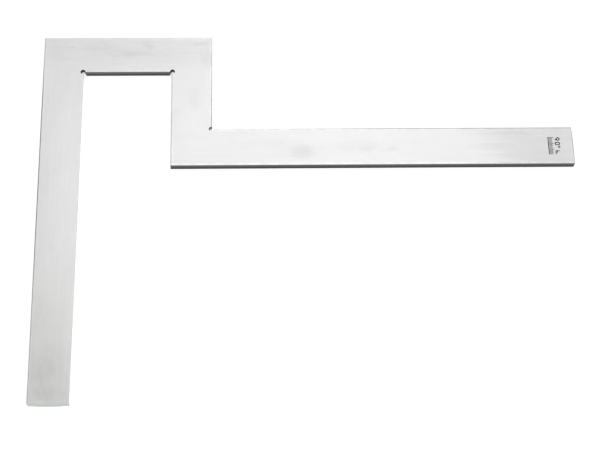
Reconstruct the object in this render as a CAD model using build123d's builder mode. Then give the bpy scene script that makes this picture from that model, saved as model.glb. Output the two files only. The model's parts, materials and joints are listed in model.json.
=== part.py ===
from build123d import *
import os

# Flange square: a cranked flat square, cut from one steel plate. Its notch clears the rim of a pipe
# flange, so that the leg lies along the flange's face while the arm lies along the pipe.
#
# Frame: the underside is z = 0. The leg's working edge lies on x = 0 and the arm's working edge on
# y = 0, so the origin is where the lines of the two working edges cross. +X runs along the arm to
# its free end, and +Y runs towards the bridge over the notch.

# ---------------------------------------------------------------------------------------------
# Driving dimensions, in millimetres
# ---------------------------------------------------------------------------------------------

limb_width = 30.5             # across the leg, the bridge, the short limb and the arm
plate_thickness = 6.0
arm_length = 300.0            # the arm's working edge, up to the middle of its free end
leg_length = 295.0            # from the bridge's outer edge to the middle of the leg's free end
notch_width = 66.5            # clear gap between the leg and the short limb
notch_depth = 80.5            # from the arm's working edge up to the bridge
leg_taper = 1.5               # what the leg's outer edge loses towards its free end
leg_end_crown = 0.65          # how far the middle of the leg's end stands past its corners
arm_end_crown = 0.3

relief_hole_diameter = 3.8    # drilled where two inside edges meet
relief_hole_inset = 0.5       # from the corner into the limb, to the hole's centre
edge_break = 0.2              # chamfer round both faces

engraving_depth = 0.12
fill_thickness = 0.10         # the marking's dark filling stops a little below the face

mark_from_arm_end = 19.0      # from the arm's end to the foot of the marking
mark_length = 14.4            # across the arm
mark_from_working_edge = 22.0  # the marking reads from here towards the working edge

numeral_height = 4.0
numeral_width = 2.9
numeral_stroke = 0.8
numeral_gap = 1.0             # between two numerals
numerals_above_scale = 5.1    # from the scale's foot to the numerals' feet
degree_ring_diameter = 1.8
nine_tail_reach = 1.0         # how far left of its right side the nine's tail ends
symbol_size = 3.2             # right-angle sign: length of its two lines
symbol_square_size = 1.5      # the small square in the sign's corner
symbol_stroke = 0.6

scale_line_stroke = 0.5
scale_divisions = 14          # one millimetre apart
scale_division = 1.0
scale_tick_height = 3.4
scale_long_tick_height = 4.3
scale_divisions_per_long_tick = 5

# ---------------------------------------------------------------------------------------------
# Derived positions, in millimetres
# ---------------------------------------------------------------------------------------------

bridge_top = notch_depth + limb_width
leg_end = bridge_top - leg_length
leg_end_corner = leg_end + leg_end_crown
short_limb_right = notch_width + limb_width
arm_end = notch_width + arm_length
arm_end_corner = arm_end - arm_end_crown
pocket_floor = plate_thickness - engraving_depth

relief_hole_centres = [
    (-relief_hole_inset, notch_depth),
    (notch_width + relief_hole_inset, notch_depth),
    (short_limb_right - relief_hole_inset, limb_width),
]

# The marking's own plane lies on the floor of its engraving. It reads across the arm, so local X
# points to the working edge and local Y points to the arm's free end.
mark_plane = Plane(
    origin=(arm_end - mark_from_arm_end, mark_from_working_edge, pocket_floor),
    x_dir=(0, -1, 0),
    z_dir=(0, 0, 1),
)

numeral_radius = numeral_width / 2
numerals_middle = numerals_above_scale + numeral_height / 2
nine_centre = numeral_radius
zero_centre = nine_centre + numeral_width + numeral_gap
degree_centre = zero_centre + numeral_radius + numeral_gap / 2 + degree_ring_diameter / 2
symbol_left = mark_length - symbol_size


# ---------------------------------------------------------------------------------------------
# Marking: flat shapes on the floor of the engraving
# ---------------------------------------------------------------------------------------------


def ring(outer_diameter, stroke):
    """A round ring in the sketch that is being drawn."""
    Circle(outer_diameter / 2)
    Circle(outer_diameter / 2 - stroke, mode=Mode.SUBTRACT)


# The nine: a round bowl, and a tail that leaves the bowl's right side and curls left at its foot.
bowl_centre = numerals_above_scale + numeral_height - numeral_radius
tail_side = numeral_width - numeral_stroke / 2
tail_foot = numerals_above_scale + numeral_stroke / 2

with BuildSketch(mark_plane) as nine_mark:
    with Locations((nine_centre, bowl_centre)):
        ring(numeral_width, numeral_stroke)
    with BuildLine():
        TangentArc(
            (tail_side, bowl_centre),
            (tail_side - nine_tail_reach, tail_foot),
            tangent=(0, -1),
        )
    trace(line_width=numeral_stroke)

with BuildSketch(mark_plane) as zero_mark:
    with Locations((zero_centre, numerals_middle)):
        SlotOverall(numeral_height, numeral_width, rotation=90)
        SlotOverall(
            numeral_height - 2 * numeral_stroke,
            numeral_width - 2 * numeral_stroke,
            rotation=90,
            mode=Mode.SUBTRACT,
        )

with BuildSketch(mark_plane) as degree_mark:
    with Locations((degree_centre, numerals_above_scale + numeral_height - degree_ring_diameter / 2)):
        ring(degree_ring_diameter, symbol_stroke)

# The right-angle sign: two lines that meet square, with a small square drawn in their corner.
with BuildSketch(mark_plane) as right_angle_mark:
    with BuildLine():
        Polyline(
            (symbol_left + symbol_stroke / 2, numerals_above_scale + symbol_size),
            (symbol_left + symbol_stroke / 2, numerals_above_scale + symbol_stroke / 2),
            (symbol_left + symbol_size, numerals_above_scale + symbol_stroke / 2),
        )
    trace(line_width=symbol_stroke)
    with BuildLine():
        Polyline(
            (symbol_left, numerals_above_scale + symbol_square_size),
            (symbol_left + symbol_square_size, numerals_above_scale + symbol_square_size),
            (symbol_left + symbol_square_size, numerals_above_scale),
        )
    trace(line_width=symbol_stroke)

# The scale: a foot line with one tick for each millimetre, and every fifth tick longer.
with BuildSketch(mark_plane) as scale_mark:
    with Locations((mark_length / 2, scale_line_stroke / 2)):
        Rectangle(mark_length, scale_line_stroke)
    first_tick = (mark_length - scale_divisions * scale_division) / 2
    for tick in range(scale_divisions + 1):
        is_long = tick % scale_divisions_per_long_tick == 0
        tick_height = scale_long_tick_height if is_long else scale_tick_height
        with Locations((first_tick + tick * scale_division, tick_height / 2)):
            Rectangle(scale_line_stroke, tick_height)

# ---------------------------------------------------------------------------------------------
# The plate
# ---------------------------------------------------------------------------------------------

with BuildPart() as square_plate:
    with BuildSketch(Plane.XY):
        with BuildLine():
            Polyline(
                (-limb_width + leg_taper, leg_end_corner),
                (-limb_width, bridge_top),
                (short_limb_right, bridge_top),
                (short_limb_right, limb_width),
                (arm_end_corner, limb_width),
            )
            ThreePointArc((arm_end_corner, limb_width), (arm_end, limb_width / 2), (arm_end_corner, 0))
            Polyline(
                (arm_end_corner, 0),
                (notch_width, 0),
                (notch_width, notch_depth),
                (0, notch_depth),
                (0, leg_end_corner),
            )
            ThreePointArc(
                (0, leg_end_corner),
                ((-limb_width + leg_taper) / 2, leg_end),
                (-limb_width + leg_taper, leg_end_corner),
            )
        make_face()
    extrude(amount=plate_thickness)

    # Every edge of both faces is broken before the corners are drilled.
    chamfer(square_plate.faces().filter_by(Axis.Z).edges(), length=edge_break)

    with Locations(*relief_hole_centres):
        Hole(radius=relief_hole_diameter / 2)

    # The marking is engraved up to the face, from the floor that its shapes are drawn on.
    for mark in (nine_mark, zero_mark, degree_mark, right_angle_mark, scale_mark):
        extrude(mark.sketch, amount=engraving_depth, mode=Mode.SUBTRACT)

# ---------------------------------------------------------------------------------------------
# The marking's filling, which sits in the engraving
# ---------------------------------------------------------------------------------------------

with BuildPart() as angle_numerals:
    for mark in (nine_mark, zero_mark, degree_mark):
        extrude(mark.sketch, amount=fill_thickness)

with BuildPart() as right_angle_sign:
    extrude(right_angle_mark.sketch, amount=fill_thickness)

with BuildPart() as millimetre_scale:
    extrude(scale_mark.sketch, amount=fill_thickness)

# ---------------------------------------------------------------------------------------------
# Export: one file for each piece
# ---------------------------------------------------------------------------------------------

os.makedirs("parts", exist_ok=True)

square_plate.part.label = "square_plate"
export_step(square_plate.part, "parts/square_plate.step")

angle_numerals.part.label = "angle_numerals"
export_step(angle_numerals.part, "parts/angle_numerals.step")

right_angle_sign.part.label = "right_angle_sign"
export_step(right_angle_sign.part, "parts/right_angle_sign.step")

millimetre_scale.part.label = "millimetre_scale"
export_step(millimetre_scale.part, "parts/millimetre_scale.step")
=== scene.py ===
import json
import math
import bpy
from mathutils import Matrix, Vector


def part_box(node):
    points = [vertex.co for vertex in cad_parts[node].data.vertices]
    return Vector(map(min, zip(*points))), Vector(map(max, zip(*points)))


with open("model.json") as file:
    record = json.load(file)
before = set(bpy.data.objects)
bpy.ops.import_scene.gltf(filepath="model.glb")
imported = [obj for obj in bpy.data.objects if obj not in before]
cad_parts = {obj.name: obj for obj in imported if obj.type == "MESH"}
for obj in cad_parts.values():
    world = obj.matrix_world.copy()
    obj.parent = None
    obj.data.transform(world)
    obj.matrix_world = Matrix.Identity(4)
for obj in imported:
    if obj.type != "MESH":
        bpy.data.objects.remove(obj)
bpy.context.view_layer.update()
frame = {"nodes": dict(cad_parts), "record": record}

from types import SimpleNamespace

import bpy
from mathutils import Vector

# ---------------------------------------------------------------------------------------------
# The plate's own measures, in metres, from the frame
# ---------------------------------------------------------------------------------------------

NOTCH_CLEARANCE = 0.0005      # the notch's stated box stands this far inside its walls
LEG_TAPER = 0.0015            # what the leg's outer edge loses towards its free end
RELIEF_HOLE_INSET = 0.0005    # from an inside corner into the limb, to its hole's centre
RELIEF_HOLE_RADIUS = 0.0019

plate_low, plate_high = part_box("square_plate")
notch_box = frame["record"]["physics"]["openings"][0]["box_m"]

limb_width = -plate_low.x
notch_width = notch_box[1][0] + NOTCH_CLEARANCE
notch_depth = notch_box[1][1] + NOTCH_CLEARANCE
short_limb_right = notch_width + limb_width
bridge_top = plate_high.y
leg_end = plate_low.y
arm_end = plate_high.x
thickness = plate_high.z

# The outline's corners, each with how strong the painted shade, a dark line, is on the edge break from
# it to the next corner, first at its start and then along the rest of it.
outline = [
    ((-limb_width + LEG_TAPER, leg_end), 0.30, 0.70),
    ((-limb_width, bridge_top), 0.05, 0.15),
    ((short_limb_right, bridge_top), 0.45, 0.45),
    ((short_limb_right, limb_width), 0.10, 0.55),
    ((arm_end, limb_width), 0.36, 0.36),
    ((arm_end, 0.0), 0.0, 0.0),
    ((notch_width, 0.0), 0.35, 0.35),
    ((notch_width, notch_depth), 0.0, 0.0),
    ((0.0, notch_depth), 0.0, 0.0),
    ((0.0, leg_end), 0.06, 0.06),
]
relief_hole_centres = [
    (-RELIEF_HOLE_INSET, notch_depth),
    (notch_width + RELIEF_HOLE_INSET, notch_depth),
    (short_limb_right - RELIEF_HOLE_INSET, limb_width),
]

# ---------------------------------------------------------------------------------------------
# Camera
# ---------------------------------------------------------------------------------------------

CAMERA_POSITION = (0.1202, -0.5467, 1.0281)
CAMERA_TILT = 25.94           # degrees from straight down, towards +Y
CAMERA_TURN = -2.048          # degrees about the picture's upright line
CAMERA_ROLL = -0.398          # degrees about the line of sight
CAMERA_LENS = 94.28           # millimetres, on a sensor 36 mm wide
CAMERA_REACH = 100.0


def make_camera():
    camera_data = bpy.data.cameras.new("camera")
    camera_data.lens = CAMERA_LENS
    camera_data.clip_end = CAMERA_REACH
    camera = bpy.data.objects.new("camera", camera_data)
    camera.location = CAMERA_POSITION
    camera.rotation_mode = "ZYX"
    camera.rotation_euler = [math.radians(a) for a in (CAMERA_TILT, CAMERA_TURN, CAMERA_ROLL)]
    bpy.context.scene.collection.objects.link(camera)
    bpy.context.scene.camera = camera


# ---------------------------------------------------------------------------------------------
# Material and node helpers
# ---------------------------------------------------------------------------------------------

NOISE_MIDDLE = 0.5            # every noise runs from 0 to 1 about this
BUMP_DEPTH = 0.00002          # metres, of a bump of full strength


def new_material(name):
    """A new material, its node tree and its shader."""
    material = bpy.data.materials.new(name)
    material.use_nodes = True
    tree = material.node_tree
    return material, tree, tree.nodes["Principled BSDF"]


def give_material(obj, material):
    obj.data.materials.clear()
    obj.data.materials.append(material)


def add_node(tree, kind, inputs=None, **settings):
    """A new node, with its settings, and with each input set to a value or linked to a socket."""
    made = tree.nodes.new(kind)
    for name, value in settings.items():
        setattr(made, name, value)
    for key, value in (inputs or {}).items():
        if isinstance(value, bpy.types.NodeSocket):
            tree.links.new(value, made.inputs[key])
        else:
            made.inputs[key].default_value = value
    return made


def math_node(tree, operation, first, second=0.0, third=0.0, clamp=False):
    inputs = {0: first, 1: second, 2: third}
    return add_node(tree, "ShaderNodeMath", inputs, operation=operation, use_clamp=clamp).outputs[0]


def joined(tree, operation, values):
    """All the values, joined in order by one operation."""
    total = values[0]
    for value in values[1:]:
        total = math_node(tree, operation, total, value)
    return total


def product(tree, *values):
    return joined(tree, "MULTIPLY", values)


def rest_of(tree, share):
    return math_node(tree, "SUBTRACT", 1.0, share)


def centred(tree, value):
    """A noise moved down, so that it lies about 0."""
    return math_node(tree, "SUBTRACT", value, NOISE_MIDDLE)


def weighted(tree, base, values, weights):
    """The base, plus each named value times its weight."""
    total = base
    for name, weight in weights.items():
        total = math_node(tree, "MULTIPLY_ADD", values[name], weight, total)
    return total


def vector_node(tree, operation, first, second):
    inputs = {0: first, 1: second}
    return add_node(tree, "ShaderNodeVectorMath", inputs, operation=operation).outputs["Vector"]


def length_of(tree, vector):
    node = add_node(tree, "ShaderNodeVectorMath", {0: vector}, operation="LENGTH")
    return node.outputs["Value"]


def dot_product(tree, first, second):
    inputs = {0: first, 1: second}
    node = add_node(tree, "ShaderNodeVectorMath", inputs, operation="DOT_PRODUCT")
    return node.outputs["Value"]


def scaled(tree, vector, factor):
    inputs = {0: vector, "Scale": factor}
    return add_node(tree, "ShaderNodeVectorMath", inputs, operation="SCALE").outputs["Vector"]


def flattened(tree, point):
    return vector_node(tree, "MULTIPLY", point, (1.0, 1.0, 0.0))


def split(tree, vector):
    return add_node(tree, "ShaderNodeSeparateXYZ", {0: vector}).outputs


def ramp(tree, value, start, end, low=0.0, high=1.0):
    """Turns smoothly from low, where value is start, to high, where value is end."""
    inputs = {"Value": value, "From Min": start, "From Max": end, "To Min": low, "To Max": high}
    node = add_node(tree, "ShaderNodeMapRange", inputs, interpolation_type="SMOOTHSTEP")
    return node.outputs["Result"]


def mix_value(tree, share, first, second):
    inputs = {"Factor": share, "A": first, "B": second}
    return add_node(tree, "ShaderNodeMix", inputs, data_type="FLOAT").outputs[0]


def mix_colour(tree, share, first, second):
    inputs = {"Factor": share, "A": (*first, 1.0), "B": (*second, 1.0)}
    return add_node(tree, "ShaderNodeMix", inputs, data_type="RGBA").outputs["Result"]


def noise(tree, point, frequency, detail, roughness=0.5):
    """Noise from 0 to 1, with frequency in waves per metre along X, Y and Z."""
    stretched = vector_node(tree, "MULTIPLY", point, frequency)
    inputs = {"Vector": stretched, "Scale": 1.0, "Detail": detail, "Roughness": roughness}
    return add_node(tree, "ShaderNodeTexNoise", inputs).outputs["Fac"]


def even_noise(tree, point, frequency, detail):
    """Noise with the same frequency along X, Y and Z."""
    return noise(tree, point, (frequency, frequency, frequency), detail)


def link_bump(tree, shader, height, strength):
    inputs = {"Height": height, "Strength": strength, "Distance": BUMP_DEPTH}
    bump = add_node(tree, "ShaderNodeBump", inputs)
    tree.links.new(bump.outputs["Normal"], shader.inputs["Normal"])


# ---------------------------------------------------------------------------------------------
# Ground steel: where on the plate a point is
# ---------------------------------------------------------------------------------------------

FACE_FACING = (0.80, 0.95)    # how far up or down a normal points, from an edge break to a face
WALL_FACING = (0.20, 0.50)    # and from a wall to an edge break
SIDE_FACING = (0.60, 0.85)    # how far along an axis a wall's normal points, to count as facing it

DARK_RIM = (0.0004, 0.0010)   # the painted shade, a dark line at an edge, fades out between these distances
DARK_FADE = (0.10, 0.50)      # it changes from its start's strength between these shares of the edge
CORNER_FADE = (0.060, 0.004)  # beside the bridge it fades between these distances from its top
CORNER_DARK = 0.40            # to this share of itself

HOLE_WALL = (1.02, 1.15)      # a hole's wall fades out between these shares of its radius


def find_place(tree):
    """The sockets that say where a point is, and its shares of a face and of a wall."""
    coordinates = add_node(tree, "ShaderNodeTexCoord").outputs
    point = coordinates["Object"]
    x, y, z = split(tree, point)
    normal_x, normal_y, normal_z = split(tree, coordinates["Normal"])
    facing = math_node(tree, "ABSOLUTE", normal_z)
    return SimpleNamespace(
        point=point,
        x=x,
        y=y,
        z=z,
        normal_x=normal_x,
        normal_y=normal_y,
        on_face=ramp(tree, facing, *FACE_FACING),
        on_wall=ramp(tree, facing, *WALL_FACING, 1.0, 0.0),
    )


def segment_place(tree, flat, corner, next_corner):
    """How far a point of the face is from one straight edge, and its share of the way along it."""
    start = Vector((*corner, 0.0))
    run = Vector((*next_corner, 0.0)) - start
    offset = vector_node(tree, "SUBTRACT", flat, start)
    along = math_node(tree, "DIVIDE", dot_product(tree, offset, run), run.length_squared, clamp=True)
    foot = scaled(tree, run, along)
    return length_of(tree, vector_node(tree, "SUBTRACT", offset, foot)), along


def rim(tree, place):
    """The distance to the nearest edge of the plate, and the painted shade along the edge breaks."""
    flat = flattened(tree, place.point)
    distances = []
    rim_shades = []
    for (corner, start_dark, end_dark), following in zip(outline, outline[1:] + outline[:1]):
        distance, along = segment_place(tree, flat, corner, following[0])
        strength = ramp(tree, along, *DARK_FADE, start_dark, end_dark)
        distances.append(distance)
        rim_shades.append(ramp(tree, distance, *DARK_RIM, strength, 0.0))
    fade_places = [bridge_top - distance for distance in CORNER_FADE]
    corner_fade = ramp(tree, place.y, *fade_places, 1.0, CORNER_DARK)
    rim_painted_shade = product(tree, joined(tree, "MAXIMUM", rim_shades), corner_fade)
    return joined(tree, "MINIMUM", distances), rim_painted_shade


def in_relief_hole(tree, place):
    """1 on the wall of a drilled hole."""
    flat = flattened(tree, place.point)
    wall_reach = [RELIEF_HOLE_RADIUS * share for share in HOLE_WALL]
    shares = []
    for centre in relief_hole_centres:
        distance = length_of(tree, vector_node(tree, "SUBTRACT", flat, (*centre, 0.0)))
        shares.append(ramp(tree, distance, *wall_reach, 1.0, 0.0))
    return product(tree, joined(tree, "MAXIMUM", shares), place.on_wall)


# ---------------------------------------------------------------------------------------------
# Ground steel: its grain
# ---------------------------------------------------------------------------------------------

GRAIN_DETAIL = 4.0
GRAIN_ROUGHNESS = 0.6
FINE_GRAIN = (3200.0, 55.0)   # waves per metre across the grinding lines and along them
BROAD_GRAIN = (420.0, 14.0)
SMUDGE_GRAIN = (520.0, 110.0)
TIP_GRAIN = (380.0, 16.0)

GRAIN_TURN = 0.003            # the grain turns from one limb to the next over this length
GRAIN_TURN_WOBBLE = 0.008
GRAIN_TURN_FREQUENCY = 60.0
GRAIN_TURN_DETAIL = 3.0

CLOUD_FREQUENCY = 34.0
CLOUD_DETAIL = 5.0
MOTTLE_FREQUENCY = 240.0
MOTTLE_DETAIL = 4.0


def runs_along_y(tree, point):
    """1 on the leg and the short limb, and 0 on the bridge and the arm."""
    frequency = (GRAIN_TURN_FREQUENCY, GRAIN_TURN_FREQUENCY, 0.0)
    wobble = centred(tree, noise(tree, point, frequency, GRAIN_TURN_DETAIL))
    shift = product(tree, wobble, GRAIN_TURN_WOBBLE)
    x, y, _ = split(tree, point)
    shifted_x = math_node(tree, "ADD", x, shift)
    shifted_y = math_node(tree, "ADD", y, shift)
    below_bridge = ramp(tree, shifted_y, notch_depth, notch_depth + GRAIN_TURN, 1.0, 0.0)
    above_arm = ramp(tree, shifted_y, limb_width, limb_width + GRAIN_TURN)
    on_leg = ramp(tree, shifted_x, 0.0, GRAIN_TURN, 1.0, 0.0)
    off_arm = math_node(tree, "MAXIMUM", above_arm, on_leg)
    return product(tree, below_bridge, off_arm)


def grain(tree, point, frequency):
    """Grinding lines that follow each limb, from 0 to 1."""
    across, along = frequency
    lines_x = noise(tree, point, (along, across, across), GRAIN_DETAIL, GRAIN_ROUGHNESS)
    lines_y = noise(tree, point, (across, along, across), GRAIN_DETAIL, GRAIN_ROUGHNESS)
    return mix_value(tree, runs_along_y(tree, point), lines_x, lines_y)


# ---------------------------------------------------------------------------------------------
# Ground steel: its matt marks, with painted shade at the leg's end and the arm's tip
# ---------------------------------------------------------------------------------------------

# Marks on the marked face, as (x, y) in metres, half length along X, half length along Y, and how
# much each darkens the face. A negative one is a brighter patch.
SMUDGES = [
    # along the arm
    ((0.164, 0.0105), 0.008, 0.0055, 0.050),
    ((0.160, 0.012), 0.020, 0.008, 0.014),
    ((0.140, 0.019), 0.012, 0.003, 0.018),
    ((0.123, 0.018), 0.006, 0.003, 0.014),
    ((0.197, 0.014), 0.008, 0.003, 0.018),
    ((0.211, 0.013), 0.006, 0.003, 0.035),
    ((0.208, 0.018), 0.012, 0.003, 0.010),
    ((0.232, 0.013), 0.004, 0.002, 0.035),
    ((0.222, 0.015), 0.014, 0.004, 0.008),
    ((0.322, 0.0255), 0.020, 0.002, 0.025),
    ((0.341, 0.025), 0.010, 0.004, -0.015),
    ((0.363, 0.014), 0.006, 0.016, -0.030),
    # along the bridge
    ((0.045, 0.098), 0.060, 0.014, 0.050),
    ((0.012, 0.103), 0.012, 0.005, 0.045),
    ((0.034, 0.097), 0.014, 0.003, 0.045),
    ((0.049, 0.104), 0.004, 0.003, 0.045),
    ((0.089, 0.106), 0.007, 0.002, 0.050),
    ((0.094, 0.092), 0.006, 0.006, 0.030),
    # down the short limb
    ((0.083, 0.056), 0.005, 0.010, 0.030),
    ((0.070, 0.045), 0.004, 0.006, 0.015),
    ((0.085, 0.028), 0.018, 0.036, -0.016),
    # down the leg
    ((-0.022, 0.106), 0.018, 0.016, 0.050),
    ((-0.020, 0.093), 0.003, 0.003, 0.012),
    ((-0.009, 0.102), 0.002, 0.002, 0.050),
    ((-0.010, 0.075), 0.020, 0.020, 0.025),
    ((-0.018, 0.040), 0.010, 0.020, 0.010),
    ((-0.008, 0.000), 0.010, 0.090, -0.030),
    ((-0.028, -0.050), 0.006, 0.080, 0.040),
    ((-0.003, -0.130), 0.005, 0.036, -0.040),
    ((-0.023, -0.118), 0.007, 0.016, 0.030),
    ((-0.018, -0.158), 0.012, 0.016, 0.065),
    ((-0.022, -0.168), 0.006, 0.008, 0.025),
    ((-0.016, -0.178), 0.014, 0.006, 0.060),
]
SMUDGE_CORE = 0.1             # share of a smudge's size that has its full strength
SMUDGE_REACH = 1.6            # and where it has faded out
SMUDGE_WOBBLE = 0.005         # metres
SMUDGE_WOBBLE_FREQUENCY = 130.0
SMUDGE_WOBBLE_DETAIL = 5.0
SMUDGE_BREAKS = (0.30, 0.70)  # the grain weakens a smudge below these and strengthens it above
SMUDGE_SHARES = (0.65, 1.35)  # by these factors

WORN_RIM = (0.0006, 0.0024)   # the brighter rim fades out between these distances from an edge
WORN_PATCH_FREQUENCY = 130.0
WORN_PATCH_DETAIL = 4.0
WORN_PATCH_NOISE = (0.35, 0.65)

DULL_LEG = (0.010, 0.130)     # the leg's dullness and painted shade fade between these distances from its end
DULL_TIP = (0.072, 0.032)     # the arm's begins and is full at these distances from its end
TIP_SLANT = 0.5               # it begins earlier towards the arm's outer edge
TIP_STREAKS = 0.07            # length of the streaks at its start


def smudges(tree, place):
    """How much the matt marks darken a point: soft patches, broken up into specks and streaks."""
    inputs = {"Vector": place.point, "Scale": SMUDGE_WOBBLE_FREQUENCY, "Detail": SMUDGE_WOBBLE_DETAIL}
    wobble = add_node(tree, "ShaderNodeTexNoise", inputs)
    middle = (NOISE_MIDDLE, NOISE_MIDDLE, NOISE_MIDDLE)
    shift = vector_node(tree, "SUBTRACT", wobble.outputs["Color"], middle)
    moved = vector_node(tree, "ADD", place.point, scaled(tree, shift, SMUDGE_WOBBLE))
    flat = flattened(tree, moved)
    marks = []
    for centre, half_x, half_y, strength in SMUDGES:
        offset = vector_node(tree, "SUBTRACT", flat, (*centre, 0.0))
        relative = vector_node(tree, "MULTIPLY", offset, (1.0 / half_x, 1.0 / half_y, 0.0))
        marks.append(ramp(tree, length_of(tree, relative), SMUDGE_CORE, SMUDGE_REACH, strength, 0.0))
    broken = ramp(tree, grain(tree, place.point, SMUDGE_GRAIN), *SMUDGE_BREAKS, *SMUDGE_SHARES)
    on_marked_face = product(tree, place.on_face, ramp(tree, place.z, thickness / 2, thickness))
    return product(tree, product(tree, joined(tree, "ADD", marks), broken), on_marked_face)


def worn_rim(tree, place, edge_distance):
    """Where the rim of a face is worn a little brighter, in patches."""
    near_edge = ramp(tree, edge_distance, *WORN_RIM, 1.0, 0.0)
    patches = even_noise(tree, place.point, WORN_PATCH_FREQUENCY, WORN_PATCH_DETAIL)
    return product(tree, near_edge, ramp(tree, patches, *WORN_PATCH_NOISE), place.on_face)


def dull_and_shaded_leg_end(tree, place):
    """Where the leg's free end has gone matt and slightly olive, and is darkened with painted shade.
    """
    fade_places = [leg_end + distance for distance in DULL_LEG]
    return product(tree, ramp(tree, place.y, *fade_places, 1.0, 0.0), place.on_face)


def dull_and_shaded_arm_tip(tree, place):
    """Where the arm's free end is matt and darkened with painted shade, which begins in streaks along
    the grain.
    """
    streaks = centred(tree, grain(tree, place.point, TIP_GRAIN))
    reach = math_node(tree, "MULTIPLY_ADD", place.y, TIP_SLANT, place.x)
    reach = math_node(tree, "MULTIPLY_ADD", streaks, TIP_STREAKS, reach)
    fade_places = [arm_end - distance for distance in DULL_TIP]
    return product(tree, ramp(tree, reach, *fade_places), place.on_face)


# ---------------------------------------------------------------------------------------------
# Ground steel: its walls, with painted shade and painted light
# ---------------------------------------------------------------------------------------------

FRONT_WALL_SHADE_FOOT = 0.028     # painted shade: tone of the walls that face -Y over the work, at their foot
FRONT_WALL_SHADE_HEAD = 0.30      # and at their head
ARM_WALL = 0.72               # the arm's wall, as a share of the bridge's
PAINTED_LIGHT_WALL = 1.90            # painted light: the walls that face +X beside the notch and the short limb
PLAIN_WALL = 0.62             # the walls that face +Y and -X, and the arm's end
LEG_END_WALL = 1.00
WALL_CHANGE = (0.002, 0.006)  # one wall's tone gives way to the next between these distances

HOLE_FOOT_PAINTED_LIGHT = 1.60              # painted light: a drilled hole's wall is bright near its foot
HOLE_HEAD_PAINTED_SHADE = 0.02              # and painted shade makes it dark near the face
ARM_HOLE_HEAD_PAINTED_SHADE = 0.28          # but less painted shade in the hole beside the arm
HOLE_DARK = (0.34, 0.50)      # the painted shade sets in between these shares of the plate's thickness
HOLE_SIDE_DARK = 0.90         # and lower down where it faces along X


def front_wall_painted_shade(tree, place):
    """Painted shade on the arm's and the bridge's walls that face -Y, darker towards their foot; the
    leg's end gets none.
    """
    painted_front_shade = ramp(tree, place.z, 0.0, thickness, FRONT_WALL_SHADE_FOOT, FRONT_WALL_SHADE_HEAD)
    below_bridge = ramp(tree, place.y, 0.0, notch_depth, ARM_WALL, 1.0)
    change = [leg_end + distance for distance in WALL_CHANGE]
    at_leg_end = ramp(tree, place.y, *change, 1.0, 0.0)
    return mix_value(tree, at_leg_end, product(tree, painted_front_shade, below_bridge), LEG_END_WALL)


def side_wall_painted_light(tree, place):
    """Painted light on the walls that face +X beside the notch and the short limb; the rest plain."""
    faces_right = ramp(tree, place.normal_x, *SIDE_FACING)
    change = [short_limb_right + distance for distance in WALL_CHANGE]
    before_arm = ramp(tree, place.x, *change, 1.0, 0.0)
    return mix_value(tree, product(tree, faces_right, before_arm), PLAIN_WALL, PAINTED_LIGHT_WALL)


def hole_painted_light_and_shade(tree, place):
    """Painted light and shade on a drilled hole's wall: bright near its foot, turning dark on its way
    up to the face.
    """
    sideways = rest_of(tree, math_node(tree, "ABSOLUTE", place.normal_y))
    height = math_node(tree, "DIVIDE", place.z, thickness)
    level = math_node(tree, "MULTIPLY_ADD", sideways, HOLE_SIDE_DARK, height)
    head = ramp(tree, place.y, limb_width, notch_depth, ARM_HOLE_HEAD_PAINTED_SHADE, HOLE_HEAD_PAINTED_SHADE)
    return ramp(tree, level, *HOLE_DARK, HOLE_FOOT_PAINTED_LIGHT, head)


def walls_painted_light_and_shade(tree, place, faces_front):
    """What multiplies the steel's tone: 1 on the faces, and on the walls each wall's tone, which is
    painted shade on the walls that face -Y, painted light on those that face +X, and painted light and
    shade in the drilled holes.
    """
    wall = mix_value(tree, faces_front, side_wall_painted_light(tree, place), front_wall_painted_shade(tree, place))
    shade = mix_value(tree, place.on_wall, 1.0, wall)
    return mix_value(tree, in_relief_hole(tree, place), shade, hole_painted_light_and_shade(tree, place))


# ---------------------------------------------------------------------------------------------
# Ground steel: the material
# ---------------------------------------------------------------------------------------------

STEEL_COLOUR = (0.510, 0.510, 0.510)
DULL_TINT = (0.995, 0.995, 0.972)
# tint of the painted shade on the walls that face -Y
FRONT_WALL_SHADE_TINT = (0.95, 1.00, 0.98)
NO_TINT = (1.0, 1.0, 1.0)

# How much each mark lightens or darkens the steel, roughens or smooths it, and raises it.
TONE_WEIGHTS = {
    "fine": 0.10,
    "broad": 0.09,
    "cloud": 0.08,
    "mottle": 0.05,
    "worn": 0.05,
    # the next two darken the leg's end and the arm's tip: a matt finish, together with painted shade
    "dull": -0.12,
    "tip": -0.11,
}
BASE_ROUGHNESS = 0.33
ROUGHNESS_WEIGHTS = {"fine": 0.12, "cloud": 0.10, "smudge": 0.80, "worn": -0.08, "dull": 0.05}
BUMP_WEIGHTS = {"broad": 0.5}
STEEL_BUMP = 0.25


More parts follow.
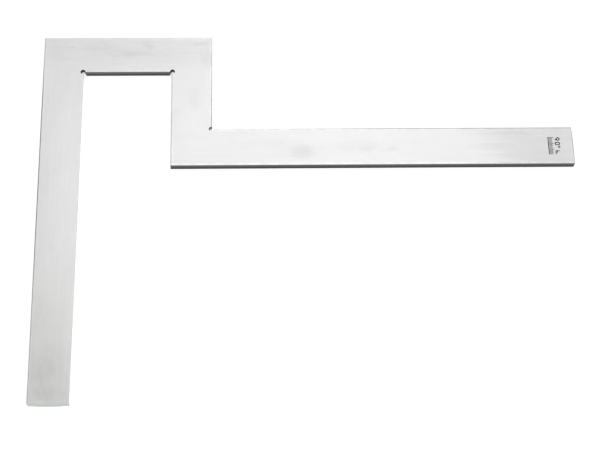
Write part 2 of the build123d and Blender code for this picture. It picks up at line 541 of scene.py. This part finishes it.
def ground_steel():
    material, tree, shader = new_material("ground_steel")
    place = find_place(tree)
    edge_distance, rim_painted_shade = rim(tree, place)
    clouds = even_noise(tree, place.point, CLOUD_FREQUENCY, CLOUD_DETAIL)
    mottling = even_noise(tree, place.point, MOTTLE_FREQUENCY, MOTTLE_DETAIL)
    marks = {
        "fine": centred(tree, grain(tree, place.point, FINE_GRAIN)),
        "broad": centred(tree, grain(tree, place.point, BROAD_GRAIN)),
        "cloud": centred(tree, clouds),
        "mottle": centred(tree, mottling),
        "smudge": smudges(tree, place),
        "worn": worn_rim(tree, place, edge_distance),
        "dull": dull_and_shaded_leg_end(tree, place),
        "tip": dull_and_shaded_arm_tip(tree, place),
    }
    faces_front = ramp(tree, place.normal_y, -SIDE_FACING[1], -SIDE_FACING[0], 1.0, 0.0)

    tone = weighted(tree, 1.0, marks, TONE_WEIGHTS)
    tone = math_node(tree, "SUBTRACT", tone, marks["smudge"])
    # The painted shade along the edge breaks is kept off the walls, and the walls get their own
    # painted light and shade.
    rim_painted_shade = product(tree, rim_painted_shade, rest_of(tree, place.on_wall))
    tone = product(tree, tone, rest_of(tree, rim_painted_shade), walls_painted_light_and_shade(tree, place, faces_front))

    dull_colour = [c * t for c, t in zip(STEEL_COLOUR, DULL_TINT)]
    steel = mix_colour(tree, marks["dull"], STEEL_COLOUR, dull_colour)
    # The walls that face -Y take the tint of their painted shade.
    front_shade_tint = mix_colour(tree, product(tree, place.on_wall, faces_front), NO_TINT, FRONT_WALL_SHADE_TINT)
    colour = scaled(tree, vector_node(tree, "MULTIPLY", steel, front_shade_tint), tone)
    tree.links.new(colour, shader.inputs["Base Color"])

    roughness = weighted(tree, BASE_ROUGHNESS, marks, ROUGHNESS_WEIGHTS)
    tree.links.new(roughness, shader.inputs["Roughness"])
    shader.inputs["Metallic"].default_value = 1.0
    link_bump(tree, shader, weighted(tree, marks["fine"], marks, BUMP_WEIGHTS), STEEL_BUMP)
    return material


# ---------------------------------------------------------------------------------------------
# The marking's filling
# ---------------------------------------------------------------------------------------------

FILL_COLOUR = (0.012, 0.012, 0.013)
RUBBED_COLOUR = (0.045, 0.045, 0.045)
RUBBED_FREQUENCY = 900.0
RUBBED_DETAIL = 4.0
RUBBED_NOISE = (0.35, 0.75)   # the filling turns from dark to rubbed between these
SPECK_FREQUENCY = 5000.0
SPECK_DETAIL = 2.0
SPECK_NOISE = (0.30, 0.70)
FILL_ROUGHNESS = (0.55, 0.75)
FILL_SPECULAR = 0.25
FILL_BUMP = 0.3


def mark_fill():
    """Dark matt filling of the engraving, rubbed a little grey."""
    material, tree, shader = new_material("mark_fill")
    point = add_node(tree, "ShaderNodeTexCoord").outputs["Object"]
    rubbed = even_noise(tree, point, RUBBED_FREQUENCY, RUBBED_DETAIL)
    speck = even_noise(tree, point, SPECK_FREQUENCY, SPECK_DETAIL)
    colour = mix_colour(tree, ramp(tree, rubbed, *RUBBED_NOISE), FILL_COLOUR, RUBBED_COLOUR)
    tree.links.new(colour, shader.inputs["Base Color"])
    roughness = ramp(tree, speck, *SPECK_NOISE, *FILL_ROUGHNESS)
    tree.links.new(roughness, shader.inputs["Roughness"])
    shader.inputs["Specular IOR Level"].default_value = FILL_SPECULAR
    link_bump(tree, shader, speck, FILL_BUMP)
    return material


# ---------------------------------------------------------------------------------------------
# Studio
# ---------------------------------------------------------------------------------------------

FLOOR_SIZE = 30.0
FLOOR_COLOUR = (0.25, 0.25, 0.25, 1.0)
FLOOR_ROUGHNESS = 0.9
FLOOR_GLOW = 0.78
WHITE = (1.0, 1.0, 1.0, 1.0)

SKY_TOP = 1.34
SKY_HORIZON = 0.95
SKY_TOP_HEIGHT = 0.6          # the height of a direction from which the sky has its top's strength

SOFTBOX_TARGET = (0.15, 0.0, 0.0)
OVERHEAD_POSITION = (0.30, 0.84, 1.50)
OVERHEAD_SIZE = (0.7, 0.7)
OVERHEAD_POWER = 1.25         # watts
FRONT_POSITION = (0.30, -1.92, 1.07)
FRONT_SIZE = (1.2, 0.6)
FRONT_POWER = 0.6


def make_floor():
    half = FLOOR_SIZE / 2
    corners = [(-half, -half, 0.0), (half, -half, 0.0), (half, half, 0.0), (-half, half, 0.0)]
    mesh = bpy.data.meshes.new("floor")
    mesh.from_pydata(corners, [], [(0, 1, 2, 3)])
    floor = bpy.data.objects.new("floor", mesh)
    bpy.context.scene.collection.objects.link(floor)
    material, _, shader = new_material("pale_floor")
    shader.inputs["Base Color"].default_value = FLOOR_COLOUR
    shader.inputs["Roughness"].default_value = FLOOR_ROUGHNESS
    shader.inputs["Emission Color"].default_value = WHITE
    shader.inputs["Emission Strength"].default_value = FLOOR_GLOW
    give_material(floor, material)


def make_world():
    world = bpy.data.worlds.new("studio")
    world.use_nodes = True
    tree = world.node_tree
    direction = add_node(tree, "ShaderNodeTexCoord").outputs["Generated"]
    _, _, height = split(tree, direction)
    strength = ramp(tree, height, 0.0, SKY_TOP_HEIGHT, SKY_HORIZON, SKY_TOP)
    background = tree.nodes["Background"]
    background.inputs["Color"].default_value = WHITE
    tree.links.new(strength, background.inputs["Strength"])
    bpy.context.scene.world = world


def make_softbox(name, position, size, power):
    light_data = bpy.data.lights.new(name, "AREA")
    light_data.shape = "RECTANGLE"
    light_data.size = size[0]
    light_data.size_y = size[1]
    light_data.energy = power
    light = bpy.data.objects.new(name, light_data)
    light.location = position
    aim = Vector(SOFTBOX_TARGET) - Vector(position)
    light.rotation_euler = aim.to_track_quat("-Z", "Y").to_euler()
    light.visible_camera = False
    bpy.context.scene.collection.objects.link(light)


make_camera()
make_floor()
make_world()
make_softbox("overhead_softbox", OVERHEAD_POSITION, OVERHEAD_SIZE, OVERHEAD_POWER)
make_softbox("front_softbox", FRONT_POSITION, FRONT_SIZE, FRONT_POWER)

bpy.context.scene.view_settings.view_transform = "Standard"
bpy.context.scene.view_settings.look = "None"

give_material(frame["nodes"]["square_plate"], ground_steel())
filling = mark_fill()
for name in ("angle_numerals", "right_angle_sign", "millimetre_scale"):
    give_material(frame["nodes"][name], filling)
